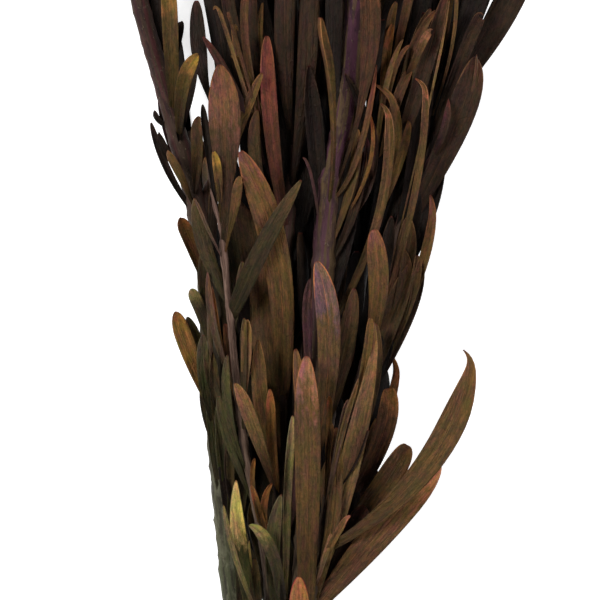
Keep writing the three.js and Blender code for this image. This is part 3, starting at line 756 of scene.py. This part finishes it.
# The twig beside it is thin, smooth and pinkish. It carries the olive leaf that crosses in front, the broad
# pinkish-grey one and the narrow upright ones.
grow_branch(
    "twig_left", 1,
    route=[
        (-136, -11.4, 10.4), (-80, -11.8, 12.3), (0, -10.4, 29), (20, -12.7, 32), (55, -19, 36),
        (100, -23.7, 39), (123, -26.3, 40), (137, -29.7, 41),
    ],
    radius=(1.7, 1.1),
    bark=("woody", "pink"),
    relief=(0.08, 0.05),
    leaves=[
        (
            94, -12, 117.5, 47, 0.3, 139.7, 49, 6.2, "green",
            dict(widest=0.4, slim=0.5, blunt=0.75, fold=0.08),
        ),
        (117, -24.1, 150, 42, -26.7, 178, 41, 11, "mauve", dict(slim=2.6, fold=0.1)),
        (98, -31.7, 117.7, 38, -35, 134, 37, 5.2, "green", dict(widest=0.5)),
        (124, -26.5, 139, 44, -28.7, 149.3, 46, 3, "gold", dict(slim=2)),
        (114, -22, 130, 46, -20, 141, 48, 3.4, "olive", dict(slim=2.4)),
        (130, -30.8, 151, 38, -32.3, 165, 37, 2.6, "dark"),
        # This one comes out from behind the broad leaf
        (
            137, -32, 176, 38, -34.4, 199.6, 37, 5.5, "dark",
            dict(root=Vector((-25.5, 156, 41)), slim=4, widest=0.7),
        ),
        (131, -21, 155, 38, -12.7, 175, 43, 3.6, "olive", dict(slim=1.6)),
        (60, -17.6, 79, 43, -17.7, 93.7, 44, 3.6, "tan"),
        (-24, -19, 9, 34, -21.3, 40.3, 37, 5.2, "lime", dict(blunt=0.8, fold=0.25, slim=1)),
        (-18, -16.2, 4, 34, -16.7, 20, 38, 2, "lime"),
        (-14, -20.8, 13, 41, -25.3, 32.3, 40, 2, "straw"),
        (22, -15.4, 38, 38, -15, 47.7, 40, 1.6, "orange", dict(fold=0.6)),
        (30, -23, 52, 35, -27, 68, 34, 3.4, "sage"),
        (40, -23.6, 62, 37, -24, 82, 38, 3, "sage"),
        (44, -27, 66, 33, -31.5, 84, 30, 3.4, "green"),
        (128, -23.5, 170, 35, -35.8, 224, 33, 7, "dark"),
        (62, -25.3, 82.7, 41, -29.3, 104.7, 42, 1.7, "orange"),
        (70, -28, 88.3, 38, -30.7, 109.3, 38, 2.6, "taupe", dict(fold=0.4)),
        (54, -19, 76, 39, -18.7, 94, 39, 2.2, "green", dict(fold=0.5)),
        (88, -20.7, 100, 39, -19, 112.7, 40, 3, "green", dict(fold=0.3)),
        (112, -29.7, 122.7, 43, -34.7, 133.3, 43, 1.1, "taupe"),
        (-44, -14.5, -8, 31, -15, 14, 33, 4, "green"),
    ],
    under=(4, 60, 3, 30, (230, 350), ("green", "dark")),
    fork=119,
)

# The branch behind the left middle is hidden by its own broad olive-brown leaves. A fan of narrow, lighter
# ones grows from its lower part.
grow_branch(
    "branch_mid_left", 2,
    route=[
        (-146, -6.5, 9.3), (-80, -7.1, 11.1), (0, -5, 17), (37, -6.7, 23), (100, -5, 27),
        (137, -3.3, 28), (161, -1, 28), (200, 0, 28), (246, -2, 27),
    ],
    radius=(2.9, 1.4),
    bark=("woody", "wine"),
    relief=(0.14, 0.06),
    leaves=[
        (64, -8, 111.7, 39, -19.7, 149.3, 42, 9.3, "russet", dict(slim=0.7, blunt=0.6, fold=0.1)),
        (120, -9.3, 155, 37, -11, 187.7, 38, 5.4, "rose", dict(fold=0.5, blunt=0.5, slim=0.9)),
        (150, -4, 193, 35, -5, 227, 36, 7.5, "dark"),
        (134, 2, 175, 41, 3.3, 220, 41, 7, "umber"),
        (33, -10.8, 80, 33, -12.7, 118.3, 34, 9.3, "olive", dict(slim=1.3)),
        (34, -12, 62, 38, -14, 86.7, 40, 5.4, "olive"),
        (30, -8.7, 52, 41, -10, 70.7, 43, 3.6, "orange"),
        (31, -14.5, 56, 44, -21, 72.3, 46, 5, "tan", dict(slim=1.4, blunt=0.75)),
        (-6, -3.8, 32, 42, -2.7, 61.7, 45, 3, "straw", dict(fold=0.35, slim=0.8, turn=10)),
        (-16, -9.3, 12, 42, -6.3, 35.7, 47, 5, "sage", dict(blunt=0.8)),
        (-12, -9, 14, 46, -16, 26, 50, 4.4, "moss", dict(hook=-1)),
        (0, -12, 25, 38, -9.3, 39.3, 42, 2.4, "orange", dict(fold=0.5)),
        (2, -11.4, 24, 35, -16.3, 38.7, 36, 2.6, "orange", dict(fold=0.5)),
        (118, -17.8, 165, 34, -26.8, 220, 34, 5, "umber"),
        (126, -17.5, 162, 37, -32.3, 187.3, 39, 3.2, "plum", dict(slim=0.7)),
        (130, -15.5, 161, 34, -22.7, 193.3, 33, 2.8, "olive"),
        (128, -14.5, 172, 38, -15, 213, 38, 3.4, "umber"),
        (112, -14.5, 141, 38, -14, 163.3, 40, 4.4, "khaki"),
        (150, -12, 188, 32, -19, 220, 31, 7, "dark"),
        (70, -14, 108, 31, -19.5, 142, 32, 9, "khaki"),
        (100, -13, 136, 23, -18, 170, 24, 9, "dark"),
        (42, -14, 78, 24, -20.5, 108, 25, 8.5, "dark"),
        (12, -13.5, 44, 22, -20, 74, 23, 8, "green"),
        (-14, -13.5, 14, 17, -18, 42, 20, 7, "green"),
        (62, -0.5, 96, 25, 0, 132, 27, 8, "dark"),
        (106, 2.5, 142, 25, 4.5, 176, 25, 8.5, "dark"),
        (-22, -2.5, 12, 22, -1.5, 44, 26, 7, "green"),
        (136, -18.5, 178, 29, -23, 222, 28, 8, "dark"),
        (128, -14.5, 167, 40, -22.5, 181, 42, 2.4, "olive"),
        (130, -12, 175, 39, -12.5, 199.5, 41, 2.6, "olive"),
        (130, -10.5, 172, 33, -7.5, 195, 35, 2.6, "brown"),
        (140, -9.5, 182, 29, -11, 226, 28, 8, "dark"),
        (112, -7, 150, 30, -8, 184, 30, 7, "dark"),
        (76, -20, 112, 21, -23, 146, 23, 9, "green"),
        (40, -20.5, 82, 19, -24.5, 116, 20, 8, "green"),
        (24, -19, 66, 18, -22, 98, 19, 8, "green"),
        (122, -20.7, 179.3, 42, -27.7, 196.7, 43, 1.4, "tan"),
        (122, -19.7, 180, 43, -23.7, 194, 43, 1.3, "brown"),
        (120, -19, 176.7, 43, -21, 190, 43, 1.2, "olive"),
        (124, -17, 180, 41, -16, 206.7, 41, 2.8, "brown", dict(fold=0.4)),
        (150, -5, 180, 38, -4, 220, 38, 7, "umber", dict(fold=-0.15)),
        (58, -3, 73.3, 30, -2.7, 93.3, 31, 4, "black"),
        (110, -10.7, 128.3, 22, -12.7, 163.3, 24, 9, "black"),
        (40, -1.3, 53.3, 33, -1, 71.7, 34, 2.4, "plum"),
        (20, -2, 33.3, 33, -2, 56.7, 34, 3.6, "plum"),
        (118, -22.7, 143.3, 30, -24, 160, 30, 7, "black"),
        (36, -4.2, 56, 30, -3.4, 78, 31, 4.5, "black"),
    ],
    under=(2, 182, 11, 52, (190, 350), SHADE),
    crown=(186, 244, 9, 46, ROUND, SHADE),
)

# The centre branch has a smooth purple stem that shows between its leaves near the top. A broad leaf with a
# dusky tip stands in front of it, and a slim one on its right ends in a hook.
HOOKED = dict(fold=0.3, blunt=0.6, widest=0.78, crook=5)
grow_branch(
    "branch_centre", 3,
    route=[
        (-140, 0.4, 11.4), (-80, -0.3, 13.4), (0, 1, 24), (50, 4, 31), (93, 6.7, 34), (140, 10, 36),
        (162, 15, 37), (183, 17.3, 37), (215, 19, 35), (248, 21, 33),
    ],
    radius=(4, 3.6),
    bark=("woody", "purple"),
    relief=(0.12, 0.08),
    leaves=[
        (38, 9.4, 82, 45, 5.3, 112.7, 47, 8, "dusk", dict(slim=1.2, fold=0.1)),
        (58, 2, 88, 41, 3.4, 107, 41, 3.4, "violet"),
        (
            122, 10.5, 158, 47, 6, 193.3, 51, 4, "olive",
            dict(fold=0.55, blunt=0.3, slim=2.2, widest=0.85, turn=62, hook=1.5),
        ),
        (130, 22, 176.7, 46, 20.3, 220, 46, 7, "bronze", dict(slim=5, fold=0.15)),
        (84, 25.3, 126, 43, 29.2, 165.3, 45, 3.4, "hooked", dict(HOOKED, slim=0.8, hook=-2.8)),
        (150, 11, 188, 41, 12, 222, 42, 6, "dark"),
        (60, 10.5, 92, 32, 13.5, 124, 32, 7, "umber", dict(slim=1)),
        (100, 15.5, 138, 39, 19, 172, 40, 6, "dark"),
        (112, 5, 146, 38, 3, 178, 40, 6, "dark"),
        (20, 2, 50, 40, -1.5, 84, 41, 5, "olive"),
        (46, 13, 74, 40, 18, 104, 41, 6.5, "khaki"),
        (90, 14, 122, 31, 17, 154, 31, 8, "dark"),
        (20, 0.5, 56, 30, 0.5, 90, 31, 7, "dark"),
        (140, 6, 178, 30, 5.5, 214, 29, 7, "dark"),
        (132, 18.7, 146.7, 42, 25.3, 178, 44, 2, "brown", dict(fold=0.4)),
        (118, 22, 141.7, 41, 23, 162.7, 43, 1.4, "orange"),
        (120, 20.7, 136.7, 38, 23.7, 160, 39, 5, "plum", dict(fold=0.4)),
        (108, 17.3, 128.3, 38, 21.3, 150, 40, 3.4, "umber", dict(fold=0.5)),
        (140, 16.7, 166.7, 40, 15, 180, 41, 1.2, "orange"),
        (112, 5, 136.7, 40, 1, 147.3, 42, 1.1, "violet"),
        (150, 6, 180, 30, 6.7, 216.7, 31, 6, "black"),
        (96, 4.3, 133.3, 26, 4, 160, 27, 8, "black"),
        (30, 7.3, 53.3, 33, 8, 73.3, 34, 3.6, "black"),
        (0, 7.4, 30, 33, 8.6, 53, 34, 5.4, "black"),
        (170, 15, 193.3, 31, 16, 220, 31, 6, "black"),
        (30, 12, 52, 36, 13, 68, 37, 4, "black"),
    ],
    under=(10, 182, 9, 52, (190, 350), SHADE),
    crown=(186, 246, 10, 46, ROUND, SHADE),
)

# The branch behind the right middle fills the space between the centre and the right one. Its leaves are
# mostly slim and dark, and stand in layers.
grow_branch(
    "branch_mid_right", 4,
    route=[
        (-138, -4.6, 2.6), (-80, -5.4, 5.3), (0, 1, 10), (37, 5, 13), (75, 13, 16), (122, 22.7, 19),
        (160, 28.3, 21), (200, 31.7, 21), (244, 39, 19),
    ],
    radius=(2.9, 1.4),
    bark=("woody", "wine"),
    relief=(0.14, 0.06),
    leaves=[
        (125, 23.5, 152, 36, 15, 175, 38, 3.2, "dark"),
        (122, 32.5, 150, 38, 28, 171.3, 41, 2.8, "olive", dict(fold=0.4, slim=1.4, hook=-3)),
        (118, 32, 143, 37, 36.3, 159.3, 38, 3, "olive", dict(fold=0.5)),
        (150, 27.5, 175, 38, 31, 192, 40, 3, "orange", dict(slim=1.5)),
        (156, 37, 182, 38, 45, 196, 40, 2.6, "brown", dict(fold=0.4)),
        (128, 31, 172, 31, 35, 214, 32, 8, "dark"),
        (100, 32, 144, 29, 38, 184, 30, 8, "dark"),
        (150, 40, 196, 28, 46, 232, 29, 8, "dark"),
        (58, 15, 92, 0.4, 20, 126, 0.4, 9, "umber"),
        (130, 27.7, 165, 39, 34.3, 187.3, 41, 2, "tan", dict(fold=0.4)),
        (134, 30, 170, 40, 36, 184, 42, 1.7, "brown", dict(fold=0.4)),
        (144, 37.3, 179.3, 41, 44.3, 188.7, 43, 2.8, "mauve", dict(fold=0.3)),
        (128, 34, 170.7, 38, 43.3, 196.7, 38, 4.6, "khaki", dict(fold=0.4)),
        (120, 36.7, 163.3, 38, 49, 203.3, 38, 5.4, "umber", dict(fold=0.4)),
        (126, 31, 160, 37, 38, 180, 38, 3.4, "brown", dict(fold=0.5)),
        (146, 28.3, 180, 37, 31.7, 198.3, 38, 3, "olive", dict(fold=0.4)),
        (160, 33.3, 190, 38, 39.3, 210, 39, 3, "brown", dict(fold=0.5)),
        (104, 28, 136.7, 30, 30.7, 163.3, 31, 7, "black"),
        (96, 22, 120, 28, 24.7, 146.7, 29, 8, "black"),
        (70, 16.7, 90, 26, 18.7, 116.7, 27, 8, "black"),
        (110, 25.3, 146.7, 30, 28, 173.3, 31, 6, "black"),
        (108, 26, 163.3, 30, 27.3, 193.3, 31, 8, "black"),
        (66, 22.5, 92, 28, 25.5, 112, 29, 6, "black"),
    ],
    under=(4, 178, 10, 50, (190, 350), SHADE),
    crown=(182, 242, 9, 46, ROUND, SHADE),
)

# The right branch leans outwards under long dark leaves. Its lowest ones stand out to the side: the hooked
# leaf and the blunt one below it.
grow_branch(
    "branch_right", 5,
    route=[
        (-144, 2.4, 3.3), (-80, 1.2, 5.9), (0, 8, 16), (50, 15, 22), (90, 25, 25), (123, 33.3, 26),
        (160, 43.3, 26), (193, 55, 25), (240, 74, 23),
    ],
    radius=(3.6, 1.4),
    bark=("woody", "wine"),
    relief=(0.16, 0.06),
    leaves=[
        (80, 25.3, 103, 42, 24.3, 123, 44, 7, "russet", dict(slim=1.2)),
        (74, 37.4, 133.3, 42, 41.2, 173.3, 44, 2.5, "hooked", dict(HOOKED, slim=0.7, hook=-3.4)),
        (118, 49.9, 153, 37, 58.7, 181, 36, 9.8, "umber", dict(fold=0.15)),
        (158, 64.3, 189, 29, 79.8, 223, 28, 10, "umber"),
        (150, 55, 190, 33, 67, 228, 34, 8, "dark"),
        (156, 50.6, 187, 39, 50.7, 213, 41, 1.3, "russet"),
        (138, 46, 153, 41, 49.3, 167, 43, 2.8, "plum", dict(slim=1.6, blunt=1.2)),
        (70, 38.6, 104, 34, 44, 135, 37, 3.6, "russet", dict(fold=0.6, slim=0.8, hook=-1)),
        (78, 32.4, 104, 32, 36, 128, 34, 7.3, "khaki"),
        (30, 27.2, 56, 29, 32.6, 81.6, 29, 3.2, "orange", dict(slim=1, hook=-2.2)),
        (22, 25.9, 51, 36, 29.5, 70.3, 37, 7, "bronze", dict(fold=0.2, slim=1, blunt=0.34)),
        (12, 25.4, 34, 35, 35.9, 52, 36, 8.4, "olive", dict(blunt=0.4, fold=0.1, slim=0.5)),
        (150, 47.5, 186, 22, 48, 222, 21, 8, "dark"),
        (56, 27.8, 86, 33, 36.8, 112, 33, 7, "khaki"),
        (96, 41.3, 128, 32, 45.8, 158, 32, 8, "dark"),
        (40, 22, 66, 37, 25, 92, 38, 6, "khaki"),
        (30, 22, 44, 30, 27, 61, 28, 7, "olive"),
        (172, 56, 208, 33, 58, 240, 35, 7, "dark"),
        (120, 40, 160, 34, 41, 196, 36, 7, "dark"),
        (112, 43, 146, 0.4, 50, 180, 0.4, 9, "umber"),
        (96, 42.7, 163.3, 41, 49.3, 199.3, 43, 0.8, "tan"),
        (18, 20.3, 71.7, 43, 23.3, 94.7, 44, 2.8, "olive", dict(fold=0.4)),
        (60, 34.3, 93.3, 38, 39, 114.7, 40, 3.6, "khaki", dict(fold=0.5)),
        (64, 32.7, 93.3, 36, 34.7, 116.7, 37, 5.4, "khaki", dict(fold=0.3)),
        (56, 34.6, 90, 33, 40.2, 112.7, 34, 3.6, "umber", dict(fold=0.3)),
        (130, 54, 180, 36, 60, 194, 37, 4.6, "umber", dict(fold=0.3)),
        (50, 25.7, 76.7, 32, 28, 93.3, 33, 7, "black"),
        (34, 23.3, 60, 28, 26.7, 80, 29, 8, "black"),
        (119, 52.5, 153, 39, 58.5, 181.3, 38, 1.8, "khaki", dict(slim=0.8)),
        (2, 19.5, 28.5, 27, 24.5, 45, 28, 6, "dark"),
        (-2, 25.5, 30, 28, 33, 41, 29, 5.5, "dark"),
        (88, 27.5, 106, 34, 30.5, 128, 35, 5, "dark"),
        (0, 15, 24, 26, 18, 42, 28, 5, "dark"),
        (160, 60.5, 199, 28, 70, 236, 27, 5, "dark"),
    ],
    under=(6, 182, 10, 50, (190, 285), SHADE),
    crown=(186, 238, 8, 44, ROUND, SHADE),
)

# The short front branch carries the tall leaf in front, the broad low leaf to the right and a young shoot
# that points at the viewer.
grow_branch(
    "branch_front", 6,
    route=[(-132, -5, 16), (-80, -5.2, 18), (-30, 0, 30), (0, 4, 37), (20, 7, 40), (38, 10, 41)],
    radius=(2.6, 1.6),
    bark=("woody", "wine"),
    relief=(0.12, 0.06),
    leaves=[
        (-16, 2.4, 40, 51, 1.7, 82, 52, 8.8, "blush", dict(slim=0.8, blunt=0.62, fold=0.08)),
        (
            4, 18.7, 52, 45, 25.7, 92.7, 45, 7.4, "tan",
            dict(widest=0.4, slim=0.8, blunt=1.5, fold=0.2, hook=-1.2),
        ),
        (28, 14.4, 56, 48, 19.3, 74.3, 50, 2, "tan", dict(fold=0.5, turn=20)),
        (-4, 26.8, 23.6, 42, 46.4, 47, 39, 11.4, "ruddy", dict(slim=1)),
        (4, 8.4, 14, 48, 10.3, 23.3, 50, 2, "tan"),
        (10, 11.5, 21, 50, 15.3, 29, 52, 2.4, "russet", dict(hook=1.2)),
        (-34, -0.6, -9, 48, -0.4, 9, 54, 6.8, "bud"),
        (-6, 10, 26, 44, 12, 58, 45, 5, "olive"),
        (
            16, 41.2, 44.7, 48, 58.2, 84, 40, 9.4, "olive",
            dict(slim=1.6, blunt=1.25, fold=0.12, crook=4, hook=-4.4),
        ),
        (20, 12.3, 53.3, 46, 16.3, 67.3, 47, 2.2, "taupe", dict(fold=0.5)),
        (10, 10.3, 43.3, 45, 15.3, 61.7, 46, 2, "plum", dict(fold=0.5)),
        (24, 9.7, 56.7, 44, 9.3, 68, 45, 2, "orange", dict(fold=0.4)),
        (-12, 15.3, 17.3, 37, 21.3, 31.3, 36, 7, "umber"),
    ],
    under=(0, 30, 2, 28, (230, 310), SHADE),
    crown=(34, 38, 2, 22, ROUND, SHADE),
)

# The tie is a natural three-ply twine, wound four times round the bare stems below the leaves and knotted on
# top, with two short ends left over.
TIE_Y = -80
TWINE = 1.55
TWINE_TURNS = 4
# The frame's band has a ridge for each turn, and the crest of one lies this far from its middle
TIE_CREST = 0.95
TURN_STEPS = 40
TWINE_SIDES = 18
TWINE_STEP = 0.42
TWINE_CLEARANCE = 0.03
PLIES = 3
PLY_LENGTH = 5.2
PLY_GROOVE = 0.2
FIBRE_SCALE = 0.8
FRAYED_STEPS = 6
FRAYED_BY = 0.35
CLEAR_OF_STEMS = 100
KNOT_TURN = math.radians(82)
KNOT = [
    (-1, -2.6, -0.2), (0, -1.6, 0.9), (1.5, -0.4, 1.7), (2.6, 0.9, 2.1), (1.6, 2, 2.3), (-0.2, 1.2, 2.9),
    (-0.6, -0.8, 2.9), (1, -1.9, 1.9), (4, -2.4, 1.3), (7.5, -3.6, 0.9), (11, -3.2, 0.6),
]
tie_wall = node_surface("tie_twine")
tie_low, tie_high = [Vector(corner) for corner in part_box("tie_twine")]


def tie_point(turn, along):
    """Middle of the twine as it lies round the stems, in mm."""
    out = Vector((math.cos(turn), 0, math.sin(turn)))
    heart = (tie_low + tie_high) / 2 + Vector((0, TIE_CREST * MM, 0))
    wall = tie_wall.ray_cast(heart + out * CLEAR_OF_STEMS * MM, -out)[0] / MM + BUNCH_CENTRE
    point = wall - out * TWINE / 2
    return Vector((point.x, TIE_Y + along, max(point.z, TWINE / 2)))


def smooth_route(points, step):
    """Points at even steps along a smooth curve through the given ones."""
    fine = []
    for i in range(len(points) - 1):
        before, start, end, after = [points[max(0, min(j, len(points) - 1))] for j in range(i - 1, i + 3)]
        pieces = max(1, round((end - start).length / step))
        for k in range(pieces):
            t = k / pieces
            bend = (end - before) * (t**3 - 2 * t**2 + t) / 2 + (after - start) * (t**3 - t**2) / 2
            fine.append(start.lerp(end, 3 * t**2 - 2 * t**3) + bend)
    return fine + [points[-1]]


def lay_twine(growth, route, heart, seed):
    """Twisted plies along a route, a little frayed at its last end."""
    # Colours of the crests, of the painted shade in the grooves between the plies, and of the hairs
    colours = [paint(150, 128, 92), paint(96, 76, 50), paint(176, 156, 118)]
    rings = []
    run = 0
    for i, centre in enumerate(route):
        ahead = (route[min(i + 1, len(route) - 1)] - route[max(i - 1, 0)]).normalized()
        out = centre - heart
        out = (out - ahead * out.dot(ahead)).normalized()
        side = ahead.cross(out)
        spin = 2 * math.pi * run / PLY_LENGTH
        frayed = 1 + FRAYED_BY * portion(i, len(route) - 1 - FRAYED_STEPS, len(route) - 1)
        points, places, grains = [], [], []
        for k in range(TWINE_SIDES):
            turn = 2 * math.pi * k / TWINE_SIDES
            ply = abs(math.cos(PLIES / 2 * (turn - spin)))
            size = TWINE / 2 * (1 - PLY_GROOVE + PLY_GROOVE * math.sqrt(ply)) * frayed
            point = centre + side * math.cos(turn) * size + out * math.sin(turn) * size
            point.z = max(point.z, TWINE_CLEARANCE)
            points.append(point)
            places.append((ply, run, 0))
            grains.append(((turn - spin) * FIBRE_SCALE + seed, run, seed))
        rings.append(growth.ring(points, places, grains, colours))
        run += (route[min(i + 1, len(route) - 1)] - centre).length
    growth.join(rings, slot=0)
    growth.close(rings[0], slot=0, backwards=True)
    growth.close(rings[-1], slot=0)


def twine_finish():
    """Pale brown fibre with painted shade in the grooves between the plies, and fine slanting hairs."""
    finish = Finish("natural_twine")
    ply = finish.mark("place", 0)
    grain = finish.mark("grain")
    hairs = finish.speckle(grain, (5, 1.6, 1), 4, 0.7)
    dirt = finish.speckle(grain, (0.4, 0.3, 1), 3)
    # Painted shade: the grooves between the plies take the darker colour.
    colour = finish.blend(ply.rise(0.1, 0.7), finish.mark("rim"), finish.mark("blade"))
    colour = finish.blend(hairs.rise(0.5, 0.7) * 0.6, colour, finish.mark("tip"))
    colour = finish.blend(dirt.rise(0.55, 0.75) * 0.3, colour, paint(98, 82, 58))
    return finish.set(Base_Color=colour, Roughness=0.9, Normal=finish.bump(hairs, 0.7, 0.0002))


tie = Growth()
travel = TWINE * TWINE_TURNS
tie_heart = (tie_low + tie_high) / 2 / MM + BUNCH_CENTRE
winding = [
    tie_point(KNOT_TURN - 2 * math.pi * i / TURN_STEPS, travel * (i / TURN_STEPS / TWINE_TURNS - 0.5))
    for i in range(TURN_STEPS * TWINE_TURNS + 1)
]
lay_twine(tie, smooth_route(winding, TWINE_STEP), tie_heart, seed=3)
knot_foot = tie_point(KNOT_TURN, 0)
knot_out = Vector((math.cos(KNOT_TURN), 0, math.sin(KNOT_TURN)))
knot_side = Vector((0, 1, 0)).cross(knot_out)
for number, way in enumerate((1, -1)):
    bends = [knot_foot + knot_side * x * way + Vector((0, y * way, 0)) + knot_out * z for x, y, z in KNOT]
    lay_twine(tie, smooth_route(bends, TWINE_STEP), tie_heart, seed=5 + number)
tie_wound = tie.build("tie_wound", [twine_finish()])
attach(tie_wound, "root")
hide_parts("tie_twine")
